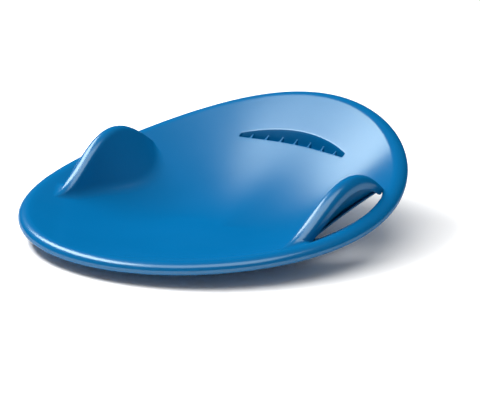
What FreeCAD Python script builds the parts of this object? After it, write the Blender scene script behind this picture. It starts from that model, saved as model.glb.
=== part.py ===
import FreeCAD, Part
import math
import os
import Sketcher

# Saucer sled moulded in one plastic, split along the lines where its forms meet.
# Lengths are millimetres. +Z is up, the ground is z = 0, and the rider faces the low front edge, -Y.
# "Turn" is the angle about Z from the back of the sled, +Y, towards the rider's left, +X.

SIZES = {
    # seat: a round bowl, flat in the middle, whose edge is high at the back and low in front
    "seat_radius": "278",
    "seat_wall": "4",
    "edge_back_height": "167",
    "edge_side_height": "67",
    "edge_front_height": "33",
    "edge_wave": "3.5",
    "floor_back_reach": "5",
    "floor_side_reach": "72",
    "floor_front_reach": "99",
    "back_bend_share": "0.57",
    "side_bend_share": "1.0",
    "front_bend_share": "0.6",
    "base_flat_depth": "0.3",
    # rim: a rolled edge, curving over, down and a little under all the way round
    "rim_width": "22",
    "rim_roll_reach": "15",
    "rim_roll_height": "11",
    "rim_curl_angle": "30",
    "rim_wall": "3.5",
    # handles: hooked walls that stand on the seat, one on each side
    "handle_inset": "47",
    "handle_bow": "11",
    "handle_middle": "37",
    "handle_front_length": "160",
    "handle_rear_length": "92",
    "handle_foot_height": "42",
    "handle_crest_height": "122",
    "handle_fullness_share": "0.15",
    "handle_tube_radius": "13",
    "handle_wall": "3.5",
    "handle_wall_length": "112",
    "handle_lean_angle": "44",
    "handle_lip_length": "9",
    "handle_lip_angle": "4",
    # hand openings through the seat, below the handles
    "opening_shift": "8",
    "opening_front_length": "75",
    "opening_rear_length": "75",
    "opening_outer_bulge": "32",
    "opening_inner_bulge": "43",
    # grip: a crescent recess high in the back of the seat, with ribs across its lower half
    "grip_half_width": "107",
    "grip_low_inset": "88.5",
    "grip_end_gap": "6",
    "grip_low_rise": "10",
    "grip_high_rise": "24",
    "grip_depth": "16",
    "grip_wall": "2.5",
    "rib_count": "7",
    "rib_pitch": "28.5",
    "rib_thickness": "2.5",
    "rib_drop": "1.2",
    "rib_reach_share": "0.5",
}

BOWL_GRID_STEPS = 16
RIM_CURVE_STEPS = 20
RIM_OUTSIDE_STEPS = 5
RIM_INSIDE_STEPS = 3
HANDLE_SECTIONS = 15
HANDLE_TOP_STEPS = 6
HALF_SHARE = 0.5

# Places that follow the seat's edge, as expressions of the sizes.
HANDLE_LINE = "(sizes.seat_radius - sizes.handle_inset)"
GRIP_LOW_END = "(sizes.seat_radius - sizes.grip_low_inset)"
GRIP_HIGH_END = f"({GRIP_LOW_END} + sizes.grip_end_gap)"

# Points of a sketch's geometry, as constraints number them.
START_INDEX = 1
END_INDEX = 2
ORIGIN = (-1, START_INDEX)

doc = FreeCAD.newDocument("saucer_sled")
sheet = doc.addObject("Spreadsheet::Sheet", "sizes")
for row, (alias, value) in enumerate(SIZES.items(), start=1):
    sheet.set(f"A{row}", alias)
    sheet.set(f"B{row}", value)
    sheet.setAlias(f"B{row}", alias)
doc.recompute()


def size(alias):
    return float(sheet.get(alias))


def three_way(back, side, front, turn):
    """A size that is given at the back, the sides and the front and changes smoothly between them."""
    mean = (back + 2 * side + front) / 4
    tilt = (back - front) / 2
    saddle = (back - 2 * side + front) / 4
    return mean + tilt * math.cos(turn) + saddle * math.cos(2 * turn)


def edge_height(turn):
    """Height of the seat's upper edge."""
    level = three_way(size("edge_back_height"), size("edge_side_height"), size("edge_front_height"), turn)
    return level + size("edge_wave") * (math.cos(3 * turn) - math.cos(turn))


def bowl_height(x, y):
    """Height of the seat's upper face: a flat floor, then a hyperbola that climbs to the edge."""
    turn = math.atan2(x, y)
    reach = three_way(size("floor_back_reach"), size("floor_side_reach"), size("floor_front_reach"), turn)
    bend = three_way(size("back_bend_share"), size("side_bend_share"), size("front_bend_share"), turn)
    way = max(math.hypot(x, y) - reach, 0) / (size("seat_radius") - reach)
    climb_share = (math.hypot(way, bend) - bend) / (math.hypot(1, bend) - bend)
    floor = size("seat_wall") - size("base_flat_depth")
    return floor + (edge_height(turn) - floor) * climb_share


def bowl_layer(name, drop, depth_expression):
    """Solid below the seat's upper face, or below that face lowered by drop."""
    half = size("seat_radius") + size("rim_width")
    places = [half * (2 * step / BOWL_GRID_STEPS - 1) for step in range(BOWL_GRID_STEPS + 1)]
    points = [[FreeCAD.Vector(x, y, bowl_height(x, y) - drop) for y in places] for x in places]
    surface = Part.BSplineSurface()
    surface.interpolate(points)
    face = doc.addObject("Part::Feature", f"{name}_face")
    face.Shape = surface.toShape()
    layer = doc.addObject("Part::Extrusion", name)
    layer.Base = face
    layer.DirMode = "Custom"
    layer.Dir = FreeCAD.Vector(0, 0, -1)
    layer.Solid = True
    layer.setExpression("LengthFwd", depth_expression)
    return layer


def boolean(kind, name, base, tool):
    result = doc.addObject(f"Part::{kind}", name)
    result.Base = base
    result.Tool = tool
    return result


def mirrored(name, source):
    """The same shape on the other side of the sled."""
    result = doc.addObject("Part::Mirroring", name)
    result.Source = source
    result.Normal = FreeCAD.Vector(1, 0, 0)
    return result


def add_sketch(body, name, plane_role):
    sketch = body.newObject("Sketcher::SketchObject", name)
    plane = next(feature for feature in body.Origin.OriginFeatures if feature.Role == plane_role)
    sketch.AttachmentSupport = [(plane, "")]
    sketch.MapMode = "FlatFace"
    return sketch


def worth(expression):
    """Value of an expression of the sheet's sizes."""
    return float(sheet.evalExpression(expression))


def join(sketch, first, second):
    """Make two points of a sketch one point."""
    sketch.addConstraint(Sketcher.Constraint("Coincident", *first, *second))


def bind(sketch, kind, places, expression):
    """Dimension of a sketch, driven by the sheet."""
    index = sketch.addConstraint(Sketcher.Constraint(kind, *places, worth(expression)))
    sketch.setExpression(f"Constraints[{index}]", expression)


def bind_angle(sketch, line, degrees_expression):
    """Direction of a line of a sketch, driven by the sheet."""
    angle = math.radians(worth(degrees_expression))
    index = sketch.addConstraint(Sketcher.Constraint("Angle", line, angle))
    sketch.setExpression(f"Constraints[{index}]", f"({degrees_expression}) * 1 deg")


def arc_radius(half_chord, rise):
    """Radius expression of an arc, from half its chord and its rise."""
    return f"(({half_chord}) ^ 2 + ({rise}) ^ 2) / (2 * ({rise}))"


def pad_up(body, sketch):
    """Column from the ground to the sled's highest edge."""
    pad = body.newObject("PartDesign::Pad", f"{body.Name}_pad")
    pad.Profile = sketch
    pad.setExpression("Length", "sizes.edge_back_height")
    return pad


def opening_column():
    """Lens-shaped column that cuts the hand opening on the rider's left."""
    body = doc.addObject("PartDesign::Body", "opening_column")
    sketch = add_sketch(body, "opening_outline", "XY_Plane")
    line = f"{HANDLE_LINE} + sizes.opening_shift"
    front = "sizes.opening_front_length - sizes.handle_middle"
    rear = "sizes.opening_rear_length + sizes.handle_middle"
    half_chord = f"({front} + {rear}) / 2"
    middle = (worth(rear) - worth(front)) / 2
    front_tip = FreeCAD.Vector(worth(line), -worth(front))
    rear_tip = FreeCAD.Vector(worth(line), worth(rear))
    for side, bulge in ((1, "sizes.opening_outer_bulge"), (-1, "sizes.opening_inner_bulge")):
        crown = FreeCAD.Vector(worth(line) + side * worth(bulge), middle)
        ends = (front_tip, rear_tip) if side > 0 else (rear_tip, front_tip)
        arc = sketch.addGeometry(Part.Arc(ends[0], crown, ends[1]))
        bind(sketch, "Radius", (arc,), arc_radius(half_chord, bulge))
    outer, inner = 0, 1
    join(sketch, (outer, START_INDEX), (inner, END_INDEX))
    join(sketch, (outer, END_INDEX), (inner, START_INDEX))
    bind(sketch, "DistanceX", (*ORIGIN, outer, START_INDEX), line)
    bind(sketch, "DistanceX", (*ORIGIN, outer, END_INDEX), line)
    bind(sketch, "DistanceY", (outer, START_INDEX, *ORIGIN), front)
    bind(sketch, "DistanceY", (*ORIGIN, outer, END_INDEX), rear)
    pad_up(body, sketch)
    return body


def crescent_column(name, margin, high_rise):
    """Crescent column for the grip, wider all round by margin, whose upper side bulges by high_rise."""
    body = doc.addObject("PartDesign::Body", name)
    sketch = add_sketch(body, f"{name}_outline", "XY_Plane")
    half = f"sizes.grip_half_width + {margin}"
    sides = (
        (f"{GRIP_LOW_END} - {margin}", "sizes.grip_low_rise", -1),
        (f"{GRIP_HIGH_END} + {margin}", high_rise, 1),
    )
    for end_height, rise, way in sides:
        start = FreeCAD.Vector(way * worth(half), worth(end_height))
        crown = FreeCAD.Vector(0, worth(end_height) + worth(rise))
        end = FreeCAD.Vector(-way * worth(half), worth(end_height))
        arc = sketch.addGeometry(Part.Arc(start, crown, end))
        bind(sketch, "Radius", (arc,), arc_radius(half, rise))
    low, high = 0, 1
    left_end, right_end = (
        sketch.addGeometry(Part.LineSegment(sketch.getPoint(low, place), sketch.getPoint(high, place)))
        for place in (START_INDEX, END_INDEX)
    )
    for line, place in ((left_end, START_INDEX), (right_end, END_INDEX)):
        join(sketch, (low, place), (line, START_INDEX))
        join(sketch, (high, place), (line, END_INDEX))
    for arc, (end_height, _, _) in zip((low, high), sides):
        bind(sketch, "DistanceX", (*ORIGIN, arc, START_INDEX), half)
        bind(sketch, "DistanceX", (arc, END_INDEX, *ORIGIN), half)
        bind(sketch, "DistanceY", (*ORIGIN, arc, START_INDEX), end_height)
        bind(sketch, "DistanceY", (*ORIGIN, arc, END_INDEX), end_height)
    pad_up(body, sketch)
    return body


def chain(sketch, start, strokes):
    """Closed outline of straight strokes, each a pair of expressions: its length and its degrees."""
    place = FreeCAD.Vector(*(worth(expression) for expression in start))
    for number, (length, degrees) in enumerate(strokes):
        angle = math.radians(worth(degrees))
        goal = place + FreeCAD.Vector(math.cos(angle), math.sin(angle)) * worth(length)
        line = sketch.addGeometry(Part.LineSegment(place, goal))
        if number:
            join(sketch, (line - 1, END_INDEX), (line, START_INDEX))
        place = goal
    closing = sketch.addGeometry(Part.LineSegment(place, sketch.getPoint(0, START_INDEX)))
    join(sketch, (closing - 1, END_INDEX), (closing, START_INDEX))
    join(sketch, (closing, END_INDEX), (0, START_INDEX))
    bind(sketch, "DistanceX", (*ORIGIN, 0, START_INDEX), start[0])
    bind(sketch, "DistanceY", (*ORIGIN, 0, START_INDEX), start[1])
    for line, (length, degrees) in enumerate(strokes):
        bind(sketch, "Distance", (line,), length)
        bind_angle(sketch, line, degrees)


def hook_section(body, number):
    """Section of a handle: a leaning wall, a tube-like top and a short lip, open below and outside."""
    sketch = add_sketch(body, f"hook_{number}", "XZ_Plane")
    length_share = number / (HANDLE_SECTIONS - 1)
    from_front = f"(sizes.handle_front_length + sizes.handle_rear_length) * {length_share}"
    before_middle = f"(sizes.handle_front_length - {from_front})"
    sketch.setExpression("AttachmentOffset.Base.z", f"{before_middle} - sizes.handle_middle")
    wave_share = f"(1 + cos({before_middle} / sizes.handle_front_length * 180 deg)) / 2"
    rise_share = f"{wave_share} * (1 + sizes.handle_fullness_share * (1 - {wave_share}))"
    rise = f"(sizes.handle_crest_height - sizes.handle_foot_height) * {rise_share}"
    across = f"{HANDLE_LINE} + sizes.handle_bow * {rise_share}"
    up = f"sizes.handle_foot_height + {rise} - sizes.handle_tube_radius"
    lean = f"sizes.handle_lean_angle * {length_share}"
    lip = "sizes.handle_lip_angle"
    turn_step = f"(180 - {lean} - {lip}) / {HANDLE_TOP_STEPS}"
    turns = [f"{lip} + {turn_step} * {step + HALF_SHARE}" for step in range(HANDLE_TOP_STEPS)]
    outer = "sizes.handle_tube_radius"
    inner = "(sizes.handle_tube_radius - sizes.handle_wall)"
    chord_share = f"2 * sin({turn_step} / 2 * 1 deg)"
    lip_start = f"{outer} * cos({lip} * 1 deg) + sizes.handle_lip_length * sin({lip} * 1 deg)"
    lip_drop = f"{outer} * sin({lip} * 1 deg) - sizes.handle_lip_length * cos({lip} * 1 deg)"
    strokes = [("sizes.handle_lip_length", f"{lip} + 90")]
    strokes += [(f"{outer} * {chord_share}", f"{turn} + 90") for turn in turns]
    strokes += [("sizes.handle_wall_length", f"-90 - {lean}"), ("sizes.handle_wall", f"-{lean}")]
    strokes += [("sizes.handle_wall_length", f"90 - {lean}")]
    strokes += [(f"{inner} * {chord_share}", f"{turn} - 90") for turn in reversed(turns)]
    strokes += [("sizes.handle_lip_length", f"{lip} - 90")]
    chain(sketch, (f"{across} + {lip_start}", f"{up} + {lip_drop}"), strokes)
    return sketch


def handle_form():
    """Handle on the rider's left, before its foot is cut to the seat."""
    body = doc.addObject("PartDesign::Body", "handle_form")
    sections = [hook_section(body, number) for number in range(HANDLE_SECTIONS)]
    loft = body.newObject("PartDesign::AdditiveLoft", "handle_loft")
    loft.Profile = sections[0]
    loft.Sections = sections[1:]
    loft.Ruled = True
    return body


def seat_shell(opening, grip_block):
    """Bowl of even height through its wall, cut round, flat below, with its three cut-outs."""
    blank = bowl_layer("seat_blank", 0, "sizes.seat_wall")
    disc = doc.addObject("Part::Cylinder", "seat_disc")
    disc.setExpression("Radius", "sizes.seat_radius")
    disc.setExpression("Height", "sizes.edge_back_height + sizes.seat_wall")
    bowl = boolean("Common", "seat_bowl", blank, disc)
    left_open = boolean("Cut", "seat_left_open", bowl, opening)
    both_open = boolean("Cut", "seat_both_open", left_open, mirrored("right_opening_column", opening))
    return boolean("Cut", "seat_shell", both_open, grip_block)


def rim_section():
    """Outline of the rim as pairs: distance out from the seat's edge, height over it."""
    middle = size("rim_width") - size("rim_roll_reach")
    entry = math.acos(-middle / size("rim_roll_reach"))
    curl = math.radians(size("rim_curl_angle"))
    drop = size("rim_roll_height") * math.sin(entry)

    def roll(depth, steps):
        """Points of the roll from the seat's edge to its curled lip, or of its inside, depth below it."""
        reach = size("rim_roll_reach") - depth
        height = size("rim_roll_height") - depth
        angles = [entry - (entry + curl) * step / steps for step in range(steps + 1)]
        return [(middle + reach * math.cos(angle), height * math.sin(angle) - drop) for angle in angles]

    inside = roll(size("rim_wall"), RIM_INSIDE_STEPS)
    return roll(0, RIM_OUTSIDE_STEPS) + inside[::-1] + [(0, -size("seat_wall"))]


def rim_ring(number, out, up):
    """One edge of the rim: a closed curve that stays at the same place in the section."""
    radius = size("seat_radius") + out
    turns = [2 * math.pi * step / RIM_CURVE_STEPS for step in range(RIM_CURVE_STEPS)]
    curve = Part.BSplineCurve()
    curve.interpolate([
        FreeCAD.Vector(radius * math.sin(turn), radius * math.cos(turn), edge_height(turn) + up)
        for turn in turns
    ], PeriodicFlag=True)
    ring = doc.addObject("Part::Feature", f"rim_ring_{number}")
    ring.Shape = Part.Wire([curve.toShape()])
    return ring


def rolled_rim():
    """Rolled edge: its section follows the seat's edge, upright all the way round."""
    rim = doc.addObject("Part::Loft", "rolled_rim")
    rim.Sections = [rim_ring(number, out, up) for number, (out, up) in enumerate(rim_section())]
    rim.Solid = True
    rim.Ruled = True
    rim.Closed = True
    return rim


def grip_tray(grip_block, grip_hollow):
    """Blind crescent tray in the back of the seat, its floor level with the seat's own slope."""
    depth = "sizes.grip_depth + sizes.seat_wall"
    block = boolean("Common", "grip_solid", grip_block, bowl_layer("grip_layer", 0, depth))
    below = bowl_layer("grip_floor_layer", size("grip_depth"), depth)
    hollow = boolean("Cut", "grip_room", grip_hollow, below)
    return boolean("Cut", "grip_tray", block, hollow)


def grip_ribs():
    """Upright ribs from the tray's lower side to about its middle, standing on its floor."""
    count = int(size("rib_count"))
    plates = []
    for number in range(count):
        plate = doc.addObject("Part::Box", f"rib_plate_{number}")
        middle = f"sizes.rib_pitch * {number - (count - 1) / 2}"
        plate.setExpression("Length", "sizes.rib_thickness")
        plate.setExpression("Width", f"{GRIP_HIGH_END} + sizes.grip_high_rise")
        plate.setExpression("Height", "sizes.edge_back_height")
        plate.setExpression("Placement.Base.x", f"{middle} - sizes.rib_thickness / 2")
        plates.append(plate)
    comb = doc.addObject("Part::MultiFuse", "rib_comb")
    comb.Shapes = plates
    low_crown = f"{GRIP_LOW_END} + sizes.grip_low_rise"
    high_crown = f"{GRIP_HIGH_END} + sizes.grip_high_rise"
    reach = f"({high_crown} - {low_crown}) * sizes.rib_reach_share"
    zone = crescent_column("rib_zone", "0", f"{low_crown} - {GRIP_HIGH_END} + {reach}")
    layer = bowl_layer("rib_layer", size("rib_drop"), "sizes.grip_depth - sizes.rib_drop")
    return boolean("Common", "grip_ribs", comb, boolean("Common", "rib_room", zone, layer))


grip_block = crescent_column("grip_block", "sizes.grip_wall", "sizes.grip_high_rise")
grip_hollow = crescent_column("grip_hollow", "0", "sizes.grip_high_rise")
seat_room = bowl_layer("seat_room", 0, "sizes.edge_back_height + sizes.handle_wall_length")
left_handle = boolean("Cut", "left_handle", handle_form(), seat_room)
NODES = (
    seat_shell(opening_column(), grip_block),
    rolled_rim(),
    left_handle,
    mirrored("right_handle", left_handle),
    grip_tray(grip_block, grip_hollow),
    grip_ribs(),
)
doc.recompute()

for thing in doc.Objects:
    if "Invalid" in thing.State or "Error" in thing.State:
        raise RuntimeError(f"{thing.Name} failed: {thing.State}")
for node in NODES:
    if node.Shape.isNull() or not node.Shape.isValid():
        raise RuntimeError(f"{node.Label} has no valid shape")

os.makedirs("parts", exist_ok=True)
for node in NODES:
    node.Shape.exportStep(f"parts/{node.Label}.step")
    print(node.Label, len(node.Shape.Solids), "solids", round(node.Shape.Volume), "cubic mm")
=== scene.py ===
"""Looks of the saucer sled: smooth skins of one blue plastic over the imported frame.

Lengths are metres. +Z is up, the ground is z = 0, and the rider faces the low front edge, -Y.
"Turn" is the angle about Z from the back of the sled, +Y, towards the rider's left, +X.
"""

import math

import bmesh
import bpy
import numpy as np
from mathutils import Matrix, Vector
from mathutils.geometry import delaunay_2d_cdt


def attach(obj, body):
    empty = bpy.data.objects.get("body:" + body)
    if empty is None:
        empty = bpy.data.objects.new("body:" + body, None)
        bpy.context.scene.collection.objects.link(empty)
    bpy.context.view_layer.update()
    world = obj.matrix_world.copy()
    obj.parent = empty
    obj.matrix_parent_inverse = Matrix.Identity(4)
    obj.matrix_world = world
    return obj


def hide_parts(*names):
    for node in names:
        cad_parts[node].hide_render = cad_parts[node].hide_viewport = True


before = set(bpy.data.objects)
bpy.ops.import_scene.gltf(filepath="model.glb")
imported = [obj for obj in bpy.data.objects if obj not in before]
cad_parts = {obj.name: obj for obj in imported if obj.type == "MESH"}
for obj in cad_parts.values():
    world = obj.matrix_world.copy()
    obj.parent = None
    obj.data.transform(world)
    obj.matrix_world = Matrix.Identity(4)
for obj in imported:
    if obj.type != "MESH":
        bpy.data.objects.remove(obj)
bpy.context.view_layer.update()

# Seat: the same formula as the solid's upper face.
SEAT_RADIUS = 0.278
SEAT_WALL = 0.004
EDGE_BACK = 0.167
EDGE_SIDE = 0.067
EDGE_FRONT = 0.033
EDGE_WAVE = 0.0035
REACH_BACK = 0.005
REACH_SIDE = 0.072
REACH_FRONT = 0.099
BEND_BACK_SHARE = 0.57
BEND_SIDE_SHARE = 1.0
BEND_FRONT_SHARE = 0.6
SEAT_FLOOR = 0.0037
SEAT_GRID = 0.006

# Rim: a rolled edge that curls a little under.
RIM_WIDTH = 0.022
RIM_REACH = 0.015
RIM_HEIGHT = 0.011
RIM_CURL = math.radians(30)
RIM_WALL = 0.0035
RIM_START = 0.275
RIM_BLEND = 0.005
RIM_TURNS = 288

# Handles: hooked walls that stand on the seat.
# Their foot lies 1.5 mm lower than the solid's, so that the front tips fade out without a step.
HANDLE_LINE = 0.231
HANDLE_BOW = 0.011
HANDLE_MIDDLE = 0.037
HANDLE_FRONT = 0.160
HANDLE_REAR = 0.092
HANDLE_FOOT = 0.0405
HANDLE_CREST = 0.122
HANDLE_FULLNESS_SHARE = 0.15
HANDLE_TUBE = 0.013
HANDLE_WALL = 0.0035
HANDLE_REACH = 0.112
HANDLE_LEAN = math.radians(44)
HANDLE_LIP = 0.009
HANDLE_LIP_ANGLE = math.radians(4)
HANDLE_FILLET = 0.014
HANDLE_SINK = 0.0015
HANDLE_LEAST_HOLLOW = 0.024
HANDLE_LEAST_LIFT = 0.00008
HANDLE_STATIONS = 150
HANDLE_TRIES = 500
HANDLE_ROW = 48
PATH_STEP = 0.0002
FILLET_SHARE = 0.6

# Hand openings: lenses with round ends.
OPENING_LINE = 0.239
OPENING_FRONT = -0.038
OPENING_REAR = 0.112
OPENING_OUTER_BULGE = 0.032
OPENING_INNER_BULGE = 0.043
OPENING_END_RADIUS = 0.003

# Grip: a crescent recess with ribs.
# Its floor is nearly level, while the solid's is parallel to the seat and would mirror the key light.
GRIP_HALF = 0.107
GRIP_LOW_END = 0.1895
GRIP_HIGH_END = 0.1955
GRIP_LOW_RISE = 0.010
GRIP_HIGH_RISE = 0.024
GRIP_DEPTH = 0.009
GRIP_LEVEL_SHARE = 0.95
GRIP_WALL = 0.0025
GRIP_CORNER = 0.002
GRIP_EDGE = 0.0008
GRIP_FLOOR_FILLET = 0.0014
GRIP_GRID = 0.003
RIB_COUNT = 7
RIB_PITCH = 0.0285
RIB_THICKNESS = 0.0025
RIB_DROP = 0.0012
RIB_REACH_SHARE = 0.5
RIB_EDGE = 0.0007
RIB_FLARE_SHARE = 1.2
RIB_ROWS = 9

# Mesh: how finely curves are divided, and what counts as joined or sharp.
# A row of points this many radii from a rounded edge keeps the shading of the wall beside it flat.
FLAT_WALL_SHARE = 2
FAN_STEPS = 6
ARC_STEP = 0.003
BEAD_STEPS = 8
ROLL_STEPS = 18
CLEAR_SHARE = 0.6
WELD = 1e-6
SHARP = math.radians(40)
CDT_INSIDE_OUTLINE = 1
CDT_NEARNESS = 1e-7

# Plastic: a low index keeps grazing views from turning pale, and the tint gives the sheen its strength.
BLUE_DEEP = (0.0, 0.090, 0.235, 1)
BLUE_PALE = (0.0, 0.099, 0.258, 1)
SHEEN_INDEX = 1.06
SHEEN_TINT = (50, 61, 63, 1)
LEAST_ROUGHNESS = 0.20
MOST_ROUGHNESS = 0.25
CLOUD_SCALE = 9.0
CLOUD_DETAIL = 4.0
GRAIN_SCALE = 700.0
GRAIN_DETAIL = 2.0
GRAIN_STRENGTH = 0.05
GRAIN_DEPTH = 0.0004

# Camera: the subject is the middle of the sled, at its place in the photograph.
SUBJECT = (0, 0, 0.0835)
SUBJECT_PIXEL = (212.7, 178.4)
FRAME_PIXELS = (480, 420)
FOCAL_PIXELS = 1945.3
CAMERA_AZIMUTH = math.radians(40.99)
CAMERA_ELEVATION = math.radians(15.10)
CAMERA_DISTANCE = 3.0
SENSOR_WIDTH = 36

# Stage: the world and the sky fill the shadows, and the plastic doesn't mirror them.
# The key is a strip whose edges end the sheen on the back; the top light widens the handles' light bands.
FLOOR_SIZE = 12
FLOOR_COLOUR = (0.95, 0.95, 0.95, 1)
FLOOR_ROUGHNESS = 0.9
WORLD_COLOUR = (1, 1, 1, 1)
WORLD_STRENGTH = 0.40
SKY_PLACE = (-1.0, 1.15, 2.4)
SKY_SIZE = (4.4, 4.4)
SKY_WATTS = 29
KEY_PLACE = (-1.555, -0.355, 1.845)
KEY_SIZE = (2.4, 0.675)
KEY_ROLL = math.radians(33)
KEY_WATTS = 77
TOP_PLACE = (0.3, -0.65, 2.0)
TOP_SIZE = (2.4, 1.3)
TOP_WATTS = 36


def three_way(back, side, front, turn):
    """A value that is given at the back, the sides and the front and changes smoothly between them."""
    mean = (back + 2 * side + front) / 4
    tilt = (back - front) / 2
    saddle = (back - 2 * side + front) / 4
    return mean + tilt * np.cos(turn) + saddle * np.cos(2 * turn)


def edge_height(turn):
    """Height of the seat's edge."""
    level = three_way(EDGE_BACK, EDGE_SIDE, EDGE_FRONT, turn)
    return level + EDGE_WAVE * (np.cos(3 * turn) - np.cos(turn))


def bowl_height(x, y):
    """Height of the seat's upper face, for numbers or arrays."""
    turn = np.arctan2(x, y)
    reach = three_way(REACH_BACK, REACH_SIDE, REACH_FRONT, turn)
    bend = three_way(BEND_BACK_SHARE, BEND_SIDE_SHARE, BEND_FRONT_SHARE, turn)
    way = np.maximum(np.hypot(x, y) - reach, 0) / (SEAT_RADIUS - reach)
    climb = (np.hypot(way, bend) - bend) / (np.hypot(1, bend) - bend)
    return SEAT_FLOOR + (edge_height(turn) - SEAT_FLOOR) * climb


def lifted(places, drop=0):
    """Points on the seat's upper face, or below it by drop, and not below the ground."""
    places = np.asarray(places)
    heights = bowl_height(places[:, 0], places[:, 1]) - drop
    return np.column_stack((places, np.maximum(heights, 0)))


def weld(mesh):
    """Joins the strips and fills of a mesh where they meet, smooths its faces and marks its sharp edges."""
    worked = bmesh.new()
    worked.from_mesh(mesh)
    bmesh.ops.remove_doubles(worked, verts=worked.verts, dist=WELD)
    bmesh.ops.dissolve_degenerate(worked, dist=WELD, edges=worked.edges)
    loose = [vertex for vertex in worked.verts if not vertex.link_faces]
    bmesh.ops.delete(worked, geom=loose, context="VERTS")
    bmesh.ops.recalc_face_normals(worked, faces=worked.faces)
    worked.to_mesh(mesh)
    worked.free()
    mesh.shade_smooth()
    mesh.set_sharp_from_angle(angle=SHARP)


def make_piece(name, points, faces, node, material):
    """Welded piece that stands for a node of the frame."""
    mesh = bpy.data.meshes.new(name)
    mesh.from_pydata(points, [], faces)
    weld(mesh)
    mesh.materials.append(material)
    piece = bpy.data.objects.new(name, mesh)
    bpy.context.scene.collection.objects.link(piece)
    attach(piece, "root")
    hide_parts(node)


def strip_faces(rows, width, closed_rows=False, closed_width=False):
    """Four-sided faces of a grid of points, stored row after row."""
    faces = []
    for row in range(rows if closed_rows else rows - 1):
        after = (row + 1) % rows
        for place in range(width if closed_width else width - 1):
            beside = (place + 1) % width
            corners = ((row, place), (row, beside), (after, beside), (after, place))
            faces.append([line * width + column for line, column in corners])
    return faces


def tube_faces(rows, width):
    """Faces of closed rows of points, each joined to the next, with the first and the last row closed."""
    last = (rows - 1) * width
    ends = [list(range(width)), list(range(last, last + width))]
    return strip_faces(rows, width, closed_width=True) + ends


class Skin:
    """Points and faces of a piece, gathered strip by strip."""

    def __init__(self):
        self.points = []
        self.faces = []

    def add(self, points, faces):
        first = len(self.points)
        self.points += [tuple(point) for point in points]
        self.faces += [[first + corner for corner in face] for face in faces]

    def add_rings(self, rings):
        """Closed rings of equal length, each joined to the next."""
        self.add(np.concatenate(rings), strip_faces(len(rings), len(rings[0]), closed_width=True))


def bezier(start, corner, end, steps):
    """Curve from start to end that leaves and arrives along the lines to a corner."""
    shares = np.linspace(0, 1, steps + 1)[:, None]
    return (1 - shares) ** 2 * start + 2 * (1 - shares) * shares * corner + shares ** 2 * end


def quarter(centre, radius, start, end):
    """Pairs of offset and drop round a quarter of a small circle, from start to end in degrees."""
    angles = np.radians(np.linspace(start, end, FAN_STEPS + 1))
    out, down = centre
    return [(out + radius * math.cos(angle), down + radius * math.sin(angle)) for angle in angles]


def arc(centre, radius, start, end, side):
    """Stretch of an outline: points of an arc and their outward normals, side * radial."""
    steps = max(2, math.ceil(abs(end - start) * radius / ARC_STEP))
    angles = np.linspace(start, end, steps + 1)
    radial = np.stack((np.cos(angles), np.sin(angles)), axis=1)
    return np.array(centre) + radius * radial, side * radial


def arc_radius(half_chord, rise):
    """Radius of the arc that rises by rise over a chord."""
    return (half_chord ** 2 + rise ** 2) / (2 * rise)


def join_outline(stretches):
    """Closed outline from stretches, with the normals fanned out at each corner, anticlockwise."""
    points = []
    normals = []
    for number, (places, ways) in enumerate(stretches):
        points += list(places)
        normals += list(ways)
        next_way = stretches[(number + 1) % len(stretches)][1][0]
        before = math.atan2(ways[-1][1], ways[-1][0])
        turn = (math.atan2(next_way[1], next_way[0]) - before) % (2 * math.pi)
        for step in range(1, FAN_STEPS):
            angle = before + turn * step / FAN_STEPS
            points.append(places[-1])
            normals.append((math.cos(angle), math.sin(angle)))
    return np.array(points), np.array(normals)


def opening_outline():
    """Lens on the rider's left, drawn in by the radius of its ends."""
    half = (OPENING_REAR - OPENING_FRONT) / 2
    middle = (OPENING_REAR + OPENING_FRONT) / 2
    outer = arc_radius(half, OPENING_OUTER_BULGE)
    inner = arc_radius(half, OPENING_INNER_BULGE)
    outer_x = OPENING_LINE + OPENING_OUTER_BULGE - outer
    inner_x = OPENING_LINE - OPENING_INNER_BULGE + inner
    outer -= OPENING_END_RADIUS
    inner -= OPENING_END_RADIUS
    apart = inner_x - outer_x
    along = (apart ** 2 + outer ** 2 - inner ** 2) / (2 * apart)
    tip = math.sqrt(outer ** 2 - along ** 2)
    outer_half = math.atan2(tip, along)
    inner_half = math.atan2(tip, apart - along)
    return join_outline((
        arc((outer_x, middle), outer, -outer_half, outer_half, 1),
        arc((inner_x, middle), inner, math.pi - inner_half, math.pi + inner_half, 1),
    ))


def grip_outline():
    """Crescent, drawn in by the radius of its corners."""
    half = GRIP_HALF - GRIP_CORNER
    low = arc_radius(GRIP_HALF, GRIP_LOW_RISE)
    high = arc_radius(GRIP_HALF, GRIP_HIGH_RISE)
    low_y = GRIP_LOW_END + GRIP_LOW_RISE - low
    high_y = GRIP_HIGH_END + GRIP_HIGH_RISE - high
    low += GRIP_CORNER
    high -= GRIP_CORNER
    low_half = math.asin(half / low)
    high_half = math.asin(half / high)
    up = math.pi / 2
    low_side = arc((0, low_y), low, up + low_half, up - low_half, -1)
    high_side = arc((0, high_y), high, up - high_half, up + high_half, 1)
    left_end = (np.array((low_side[0][-1], high_side[0][0])), np.array(((1, 0), (1, 0))))
    right_end = (np.array((high_side[0][-1], low_side[0][0])), np.array(((-1, 0), (-1, 0))))
    return join_outline((low_side, left_end, high_side, right_end))


def offset(outline, distance):
    """Places of an outline, moved outward by distance."""
    points, normals = outline
    return points + distance * normals


def mirrored(places):
    """Places on the rider's right for places on the left, in the order that keeps them anticlockwise."""
    return np.asarray(places)[::-1] * np.array((-1, 1))


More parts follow.
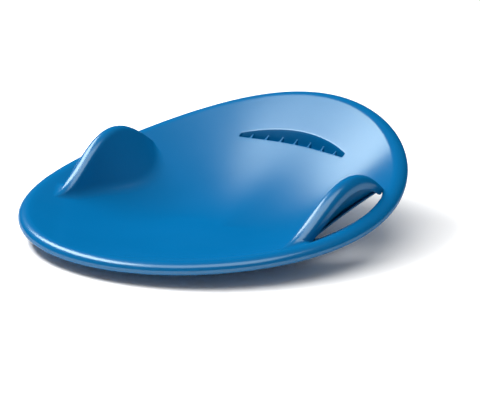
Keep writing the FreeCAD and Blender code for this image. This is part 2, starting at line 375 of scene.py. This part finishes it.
def within(places, loop):
    """Which places lie inside a closed loop, by the edges of the loop that lie to their right."""
    after = np.roll(loop, -1, axis=0)
    x, y = places[:, 0, None], places[:, 1, None]
    spans = (loop[:, 1] > y) != (after[:, 1] > y)
    rise = np.where(after[:, 1] == loop[:, 1], 1, after[:, 1] - loop[:, 1])
    crossing = loop[:, 0] + (y - loop[:, 1]) * (after[:, 0] - loop[:, 0]) / rise
    return np.sum(spans & (x < crossing), axis=1) % 2 == 1


def distance_to(loop, place):
    """Least distance in plan from a place to the edges of a closed loop."""
    edges = np.roll(loop, -1, axis=0) - loop
    from_start = place - loop
    shares = np.clip(np.sum(from_start * edges, axis=1) / np.sum(edges ** 2, axis=1), 0, 1)
    return np.min(np.linalg.norm(from_start - shares[:, None] * edges, axis=1))


def even_grid(border, spacing):
    """Places of an even triangular grid over a border, clear of the border's own points."""
    low, high = border.min(axis=0), border.max(axis=0)
    row_step = spacing * math.sqrt(3) / 2
    rows = []
    for number, y in enumerate(np.arange(low[1], high[1], row_step)):
        xs = np.arange(low[0] + spacing / 2 * (number % 2), high[0], spacing)
        row = np.column_stack((xs, np.full(len(xs), y)))
        apart = row[:, None, :] - border[None, :, :]
        clear = np.min(np.hypot(apart[:, :, 0], apart[:, :, 1]), axis=1)
        rows.append(row[clear > spacing * CLEAR_SHARE])
    return np.concatenate(rows)


def fill(loops, spacing):
    """Even triangles between closed loops in plan: the first loop outside, the others holes in it."""
    edges = []
    first = 0
    for loop in loops:
        count = len(loop)
        edges += [(first + place, first + (place + 1) % count) for place in range(count)]
        first += count
    border = np.concatenate(loops)
    places = [Vector(place) for place in np.concatenate((border, even_grid(border, spacing)))]
    found, _, triangles, *_ = delaunay_2d_cdt(places, edges, [], CDT_INSIDE_OUTLINE, CDT_NEARNESS)
    found = np.array(found)
    middles = found[np.array(triangles)].mean(axis=1)
    kept = within(middles, loops[0])
    for hole in loops[1:]:
        kept &= ~within(middles, hole)
    return found, [triangle for triangle, stays in zip(triangles, kept) if stays]


def half_bead(outline, start, radius):
    """Rings round the edge of an opening, from the seat's upper face to its lower one."""
    rings = []
    for angle in np.linspace(math.pi / 2, -math.pi / 2, BEAD_STEPS + 1):
        places = offset(outline, start + radius * (1 - math.cos(angle)))
        rings.append((places, SEAT_WALL / 2 * (1 - math.sin(angle))))
    return rings


def rim_turns():
    """Turns at which the rim has its sections."""
    return np.linspace(0, 2 * math.pi, RIM_TURNS, endpoint=False)


def seat(material):
    """Dished seat with two hand openings and a cut-out for the grip."""
    skin = Skin()
    turns = rim_turns()
    edge = RIM_START * np.column_stack((np.sin(turns), np.cos(turns)))
    beads = half_bead(opening_outline(), OPENING_END_RADIUS, SEAT_WALL / 2)
    left_opening = beads[0][0]
    grip = offset(grip_outline(), GRIP_CORNER + GRIP_WALL)
    places, triangles = fill((edge, left_opening, mirrored(left_opening), grip), SEAT_GRID)
    for drop in (0, SEAT_WALL):
        skin.add(lifted(places, drop), triangles)
    for loop in (edge, grip):
        skin.add_rings([lifted(loop), lifted(loop, SEAT_WALL)])
    skin.add_rings([lifted(ring, drop) for ring, drop in beads])
    skin.add_rings([lifted(mirrored(ring), drop) for ring, drop in beads])
    make_piece("seat", skin.points, skin.faces, "seat_shell", material)


def rim_row(turn):
    """Section of the rim as pairs: distance from the middle of the sled, height."""
    edge = edge_height(turn)
    entry = math.acos((RIM_REACH - RIM_WIDTH) / RIM_REACH)
    centre = np.array((SEAT_RADIUS + RIM_WIDTH - RIM_REACH, edge - RIM_HEIGHT * math.sin(entry)))

    def on_roll(depth, angle):
        across = (RIM_REACH - depth) * math.cos(angle)
        up = (RIM_HEIGHT - depth) * math.sin(angle)
        return centre + np.array((across, up))

    start = np.array((RIM_START, bowl_height(RIM_START * np.sin(turn), RIM_START * np.cos(turn))))
    corner = np.array((SEAT_RADIUS, edge))
    first = entry - RIM_BLEND / RIM_REACH
    last = RIM_WALL / 2 / RIM_REACH - RIM_CURL
    row = list(bezier(start, corner, on_roll(0, first), BEAD_STEPS))
    row += [on_roll(0, angle) for angle in np.linspace(first, last, ROLL_STEPS)[1:]]
    tip = on_roll(RIM_WALL / 2, last)
    way = row[-1] - tip
    under_way = np.array((way[1], -way[0]))
    for angle in np.linspace(0, math.pi, BEAD_STEPS + 1)[1:-1]:
        row.append(tip + way * math.cos(angle) + under_way * math.sin(angle))
    row += [on_roll(RIM_WALL, angle) for angle in np.linspace(last, first, ROLL_STEPS)]
    under = np.array((0, -SEAT_WALL))
    row += list(bezier(on_roll(RIM_WALL, first), corner + under, start + under, BEAD_STEPS))[1:]
    return row


def rim(material):
    """Rolled rim all the way round the seat."""
    points = []
    for turn in rim_turns():
        row = rim_row(turn)
        points += [(out * math.sin(turn), out * math.cos(turn), up) for out, up in row]
    faces = strip_faces(RIM_TURNS, len(row), closed_rows=True, closed_width=True)
    make_piece("rim", points, faces, "rolled_rim", material)


def hook_path(y, radius):
    """Section of a handle across X and Z: up the wall, over the tube-like top and down the lip."""
    before_middle = HANDLE_MIDDLE - y
    wave_share = (1 + math.cos(math.pi * before_middle / HANDLE_FRONT)) / 2
    rise_share = wave_share * (1 + HANDLE_FULLNESS_SHARE * (1 - wave_share))
    rise = (HANDLE_CREST - HANDLE_FOOT) * rise_share
    centre = np.array((HANDLE_LINE + HANDLE_BOW * rise_share, HANDLE_FOOT + rise - HANDLE_TUBE))
    lean = HANDLE_LEAN * (HANDLE_FRONT - before_middle) / (HANDLE_FRONT + HANDLE_REAR)
    wall_way = np.array((-math.sin(lean), -math.cos(lean)))
    lip_way = np.array((math.sin(HANDLE_LIP_ANGLE), -math.cos(HANDLE_LIP_ANGLE)))
    top_turn = math.pi - lean - HANDLE_LIP_ANGLE
    top_steps = math.ceil(top_turn * HANDLE_TUBE / PATH_STEP)
    angles = np.linspace(math.pi - lean, HANDLE_LIP_ANGLE, top_steps)
    top = centre + radius * np.column_stack((np.cos(angles), np.sin(angles)))
    wall = top[0] + np.arange(HANDLE_REACH, 0, -PATH_STEP)[:, None] * wall_way
    lip_length = HANDLE_LIP - HANDLE_WALL / 2
    lip = top[-1] + np.arange(PATH_STEP, lip_length, PATH_STEP)[:, None] * lip_way
    return np.concatenate((wall, top, lip))


def above_seat(path, y, level):
    """Lift of a path over the seat, its crest, and the ends of the stretch about it that clears the seat."""
    lift = path[:, 1] - bowl_height(path[:, 0], y) - level
    crest = int(np.argmax(lift))
    under = np.flatnonzero(lift <= 0)
    before = under[under < crest]
    after = under[under > crest]
    first = int(before[-1]) if len(before) else 0
    last = int(after[0]) if len(after) else len(path) - 1
    return lift, crest, first, last


def resample(points, count):
    """The same path with count points, evenly spread over the old ones."""
    places = np.linspace(0, len(points) - 1, count)
    known = np.arange(len(points))
    return np.column_stack([np.interp(places, known, values) for values in points.T])


def on_seat(x, y, drop=0):
    """Point of a section, as X and Z, on the seat's upper face or below it by drop."""
    return np.array((x, float(bowl_height(x, y)) - drop))


def hollow_row(y, seat_start, seat_end):
    """Underside of a handle's section: inside the hook, or just under the seat where the hook is too low."""
    inner = hook_path(y, HANDLE_TUBE - HANDLE_WALL)
    lift, crest, foot, landing = above_seat(inner, y, -HANDLE_SINK)
    if lift[crest] <= 0 or (landing - foot) * PATH_STEP < HANDLE_LEAST_HOLLOW:
        xs = np.linspace(seat_end[0], seat_start[0], HANDLE_ROW)
        return np.array([on_seat(x, y, HANDLE_SINK) for x in xs])
    return resample(inner[foot:landing + 1], HANDLE_ROW)[::-1]


def lip_end(start, end, bulge):
    """Points between the two faces of a handle's lip, rounded downward by bulge."""
    middle = (start + end) / 2
    way = (start - end) / 2
    down = np.array((0, -bulge))
    angles = np.linspace(0, math.pi, BEAD_STEPS + 1)[1:-1]
    return np.array([middle + way * math.cos(angle) + down * math.sin(angle) for angle in angles])


def handle_row(y, edge_room):
    """Closed section of a handle that flows into the seat, or None where it is all below the seat."""
    outer = hook_path(y, HANDLE_TUBE)
    lift, crest, foot, landing = above_seat(outer, y, 0)
    if lift[crest] < HANDLE_LEAST_LIFT:
        return None
    end = len(outer) - 1
    free = landing == end
    fillet = min(HANDLE_FILLET, (crest - foot) * PATH_STEP * FILLET_SHARE)
    on_wall = foot + max(1, round(fillet / PATH_STEP))
    seat_start = on_seat(outer[foot][0] - fillet, y)
    room = edge_room(outer[landing][0], y)
    limits = (HANDLE_FILLET, room, (landing - crest) * PATH_STEP * FILLET_SHARE, (end - landing) * PATH_STEP)
    flare = 0 if free else max(min(limits), 0)
    on_lip = landing - round(flare / PATH_STEP)
    seat_end = outer[landing] if free else on_seat(outer[landing][0] + flare, y)
    hollow = hollow_row(y, seat_start, seat_end)
    bulge_share = min(1, max(lift[-1], 0) / HANDLE_WALL) if free else 0
    return np.concatenate((
        bezier(seat_start, outer[foot], outer[on_wall], BEAD_STEPS),
        resample(outer[on_wall:on_lip + 1], HANDLE_ROW)[1:],
        bezier(outer[on_lip], outer[landing], seat_end, BEAD_STEPS)[1:],
        lip_end(seat_end, hollow[0], HANDLE_WALL / 2 * bulge_share),
        hollow,
    ))


def lip_room(left_opening):
    """Function for the room on the seat beside a handle, up to the rim or the hand opening."""
    border = offset(left_opening, OPENING_END_RADIUS + SEAT_WALL / 2)

    def room(x, y):
        place = np.array((x, y))
        if within(place[None, :], border)[0]:
            return 0
        to_rim = math.sqrt(RIM_START ** 2 - y ** 2) - x
        return min(to_rim, distance_to(border, place))

    return room


def handle(name, node, side, material):
    """Hooked handle, with its sections closer together towards its ends."""
    edge_room = lip_room(opening_outline())
    front = HANDLE_MIDDLE - HANDLE_FRONT
    rear = HANDLE_MIDDLE + HANDLE_REAR
    tries = [y for y in np.linspace(front, rear, HANDLE_TRIES) if handle_row(y, edge_room) is not None]
    shares = (1 - np.cos(np.linspace(0, math.pi, HANDLE_STATIONS))) / 2
    points = []
    for y in tries[0] + (tries[-1] - tries[0]) * shares:
        row = handle_row(y, edge_room)
        points += [(side * x, y, z) for x, z in row]
    make_piece(name, points, tube_faces(HANDLE_STATIONS, len(row)), node, material)


def arc_line(x, end, rise):
    """Place along Y of an arc through (+-GRIP_HALF, end) that rises by rise in the middle."""
    radius = arc_radius(GRIP_HALF, rise)
    return end + rise - radius + np.sqrt(radius ** 2 - x ** 2)


def sunk(places, drop):
    """Points on the seat's upper face, or below it by drop, where the grip's floor is nearly level."""
    x, y = np.asarray(places).T
    rise = bowl_height(x, y) - bowl_height(x, arc_line(x, GRIP_LOW_END, GRIP_LOW_RISE))
    level_share = GRIP_LEVEL_SHARE * min(1, drop / GRIP_DEPTH)
    return np.column_stack((x, y, bowl_height(x, y) - drop - level_share * rise))


def tray(material):
    """Blind crescent recess, as a section of offsets and drops that runs round the outline."""
    outline = grip_outline()
    bottom = GRIP_DEPTH + SEAT_WALL
    fillet = GRIP_FLOOR_FILLET
    section = quarter((-fillet, GRIP_DEPTH - fillet), fillet, 90, 0)
    section += [(0, GRIP_DEPTH - FLAT_WALL_SHARE * fillet), (0, FLAT_WALL_SHARE * GRIP_EDGE)]
    section += quarter((GRIP_EDGE, GRIP_EDGE), GRIP_EDGE, 180, 270)
    section += [(GRIP_WALL, 0)]
    section += quarter((GRIP_WALL - fillet, bottom - fillet), fillet, 0, 90)
    skin = Skin()
    skin.add_rings([sunk(offset(outline, GRIP_CORNER + out), drop) for out, drop in section])
    for out, drop in (section[0], section[-1]):
        places, triangles = fill((offset(outline, GRIP_CORNER + out),), GRIP_GRID)
        skin.add(sunk(places, drop), triangles)
    make_piece("grip_tray_skin", skin.points, skin.faces, "grip_tray", material)


def rib_section():
    """Section across a rib as pairs: place beside its middle, drop below the seat."""
    half = RIB_THICKNESS / 2
    top = RIB_DROP + RIB_EDGE
    section = [(-half, GRIP_DEPTH)]
    section += quarter((RIB_EDGE - half, top), RIB_EDGE, 180, 270)
    section += quarter((half - RIB_EDGE, top), RIB_EDGE, 270, 360)
    section += [(half, GRIP_DEPTH)]
    return section


def ribs(material):
    """Short ribs across the lower part of the recess, wider at their low end."""
    skin = Skin()
    section = rib_section()
    low_crown = GRIP_LOW_END + GRIP_LOW_RISE
    reach = (GRIP_HIGH_END + GRIP_HIGH_RISE - low_crown) * RIB_REACH_SHARE
    for number in range(RIB_COUNT):
        x = RIB_PITCH * (number - (RIB_COUNT - 1) / 2)
        low = arc_line(x, GRIP_LOW_END, GRIP_LOW_RISE)
        high = arc_line(x, GRIP_HIGH_END, low_crown + reach - GRIP_HIGH_END)
        points = []
        for along_share in np.linspace(0, 1, RIB_ROWS):
            y = low + (high - low) * along_share
            wide_share = 1 + RIB_FLARE_SHARE * (1 - along_share) ** 2
            for out, drop in section:
                points += list(sunk(((x + out * wide_share, y),), drop))
        skin.add(points, tube_faces(RIB_ROWS, len(section)))
    make_piece("grip_ribs_skin", skin.points, skin.faces, "grip_ribs", material)


def add_node(tree, kind, **values):
    """Shader node with values on its named inputs."""
    node = tree.nodes.new(kind)
    for name, value in values.items():
        node.inputs[name].default_value = value
    return node


def blue_plastic():
    """Satin moulded plastic: even blue, faintly uneven gloss and a fine moulded grain."""
    material = bpy.data.materials.new("blue_plastic")
    material.use_nodes = True
    tree = material.node_tree
    shader = tree.nodes["Principled BSDF"]
    shader.inputs["IOR"].default_value = SHEEN_INDEX
    shader.inputs["Specular Tint"].default_value = SHEEN_TINT
    place = tree.nodes.new("ShaderNodeTexCoord")
    cloud = add_node(tree, "ShaderNodeTexNoise", Scale=CLOUD_SCALE, Detail=CLOUD_DETAIL)
    grain = add_node(tree, "ShaderNodeTexNoise", Scale=GRAIN_SCALE, Detail=GRAIN_DETAIL)
    tint = tree.nodes.new("ShaderNodeValToRGB")
    for element, colour in zip(tint.color_ramp.elements, (BLUE_DEEP, BLUE_PALE)):
        element.color = colour
    gloss = add_node(tree, "ShaderNodeMapRange", **{"To Min": LEAST_ROUGHNESS, "To Max": MOST_ROUGHNESS})
    bump = add_node(tree, "ShaderNodeBump", Strength=GRAIN_STRENGTH, Distance=GRAIN_DEPTH)
    link = tree.links.new
    for noise in (cloud, grain):
        link(place.outputs["Object"], noise.inputs["Vector"])
    link(cloud.outputs["Fac"], tint.inputs["Fac"])
    link(tint.outputs["Color"], shader.inputs["Base Color"])
    link(cloud.outputs["Fac"], gloss.inputs["Value"])
    link(gloss.outputs["Result"], shader.inputs["Roughness"])
    link(grain.outputs["Fac"], bump.inputs["Height"])
    link(bump.outputs["Normal"], shader.inputs["Normal"])
    return material


def pale_floor():
    """Plain floor, which isn't part of the sled."""
    bpy.ops.mesh.primitive_plane_add(size=FLOOR_SIZE)
    floor = bpy.context.object
    floor.name = "floor"
    material = bpy.data.materials.new("pale_floor")
    material.use_nodes = True
    shader = material.node_tree.nodes["Principled BSDF"]
    shader.inputs["Base Color"].default_value = FLOOR_COLOUR
    shader.inputs["Roughness"].default_value = FLOOR_ROUGHNESS
    floor.data.materials.append(material)


def aim_at(thing, place, target):
    """Puts a light or the camera at a place, facing a target."""
    thing.location = place
    thing.rotation_euler = (Vector(target) - Vector(place)).to_track_quat("-Z", "Y").to_euler()
    bpy.context.scene.collection.objects.link(thing)


def soft_light(name, place, size, watts, roll=0):
    """Soft box that faces the sled, turned by roll about the way that it faces."""
    light = bpy.data.lights.new(name, "AREA")
    light.shape = "RECTANGLE"
    light.size, light.size_y = size
    light.energy = watts
    lamp = bpy.data.objects.new(name, light)
    aim_at(lamp, place, SUBJECT)
    lamp.rotation_euler.rotate_axis("Z", roll)
    return lamp


def studio():
    """White world and three soft boxes."""
    world = bpy.data.worlds.new("studio")
    world.use_nodes = True
    background = world.node_tree.nodes["Background"]
    background.inputs["Color"].default_value = WORLD_COLOUR
    background.inputs["Strength"].default_value = WORLD_STRENGTH
    world.cycles_visibility.glossy = False
    bpy.context.scene.world = world
    bpy.context.scene.view_settings.view_transform = "Standard"
    sky = soft_light("sky", SKY_PLACE, SKY_SIZE, SKY_WATTS)
    sky.visible_glossy = False
    soft_light("key", KEY_PLACE, KEY_SIZE, KEY_WATTS, KEY_ROLL)
    soft_light("top", TOP_PLACE, TOP_SIZE, TOP_WATTS)


def camera():
    """Camera at the photograph's angle, with the subject at its place in the frame."""
    level = math.cos(CAMERA_ELEVATION)
    across, along = math.sin(CAMERA_AZIMUTH), math.cos(CAMERA_AZIMUTH)
    back = Vector((across * level, -along * level, math.sin(CAMERA_ELEVATION)))
    right = Vector((along, across, 0))
    up = back.cross(right)
    frame_middle = Vector((FRAME_PIXELS[0] / 2, FRAME_PIXELS[1] / 2))
    shift = (frame_middle - Vector(SUBJECT_PIXEL)) * CAMERA_DISTANCE / FOCAL_PIXELS
    lens = bpy.data.cameras.new("camera")
    lens.sensor_width = SENSOR_WIDTH
    lens.lens = SENSOR_WIDTH * FOCAL_PIXELS / FRAME_PIXELS[0]
    viewer = bpy.data.objects.new("camera", lens)
    place = Vector(SUBJECT) + back * CAMERA_DISTANCE
    aim_at(viewer, place, Vector(SUBJECT) + right * shift.x - up * shift.y)
    bpy.context.scene.camera = viewer


plastic = blue_plastic()
seat(plastic)
rim(plastic)
handle("near_handle", "left_handle", 1, plastic)
handle("far_handle", "right_handle", -1, plastic)
tray(plastic)
ribs(plastic)
pale_floor()
studio()
camera()
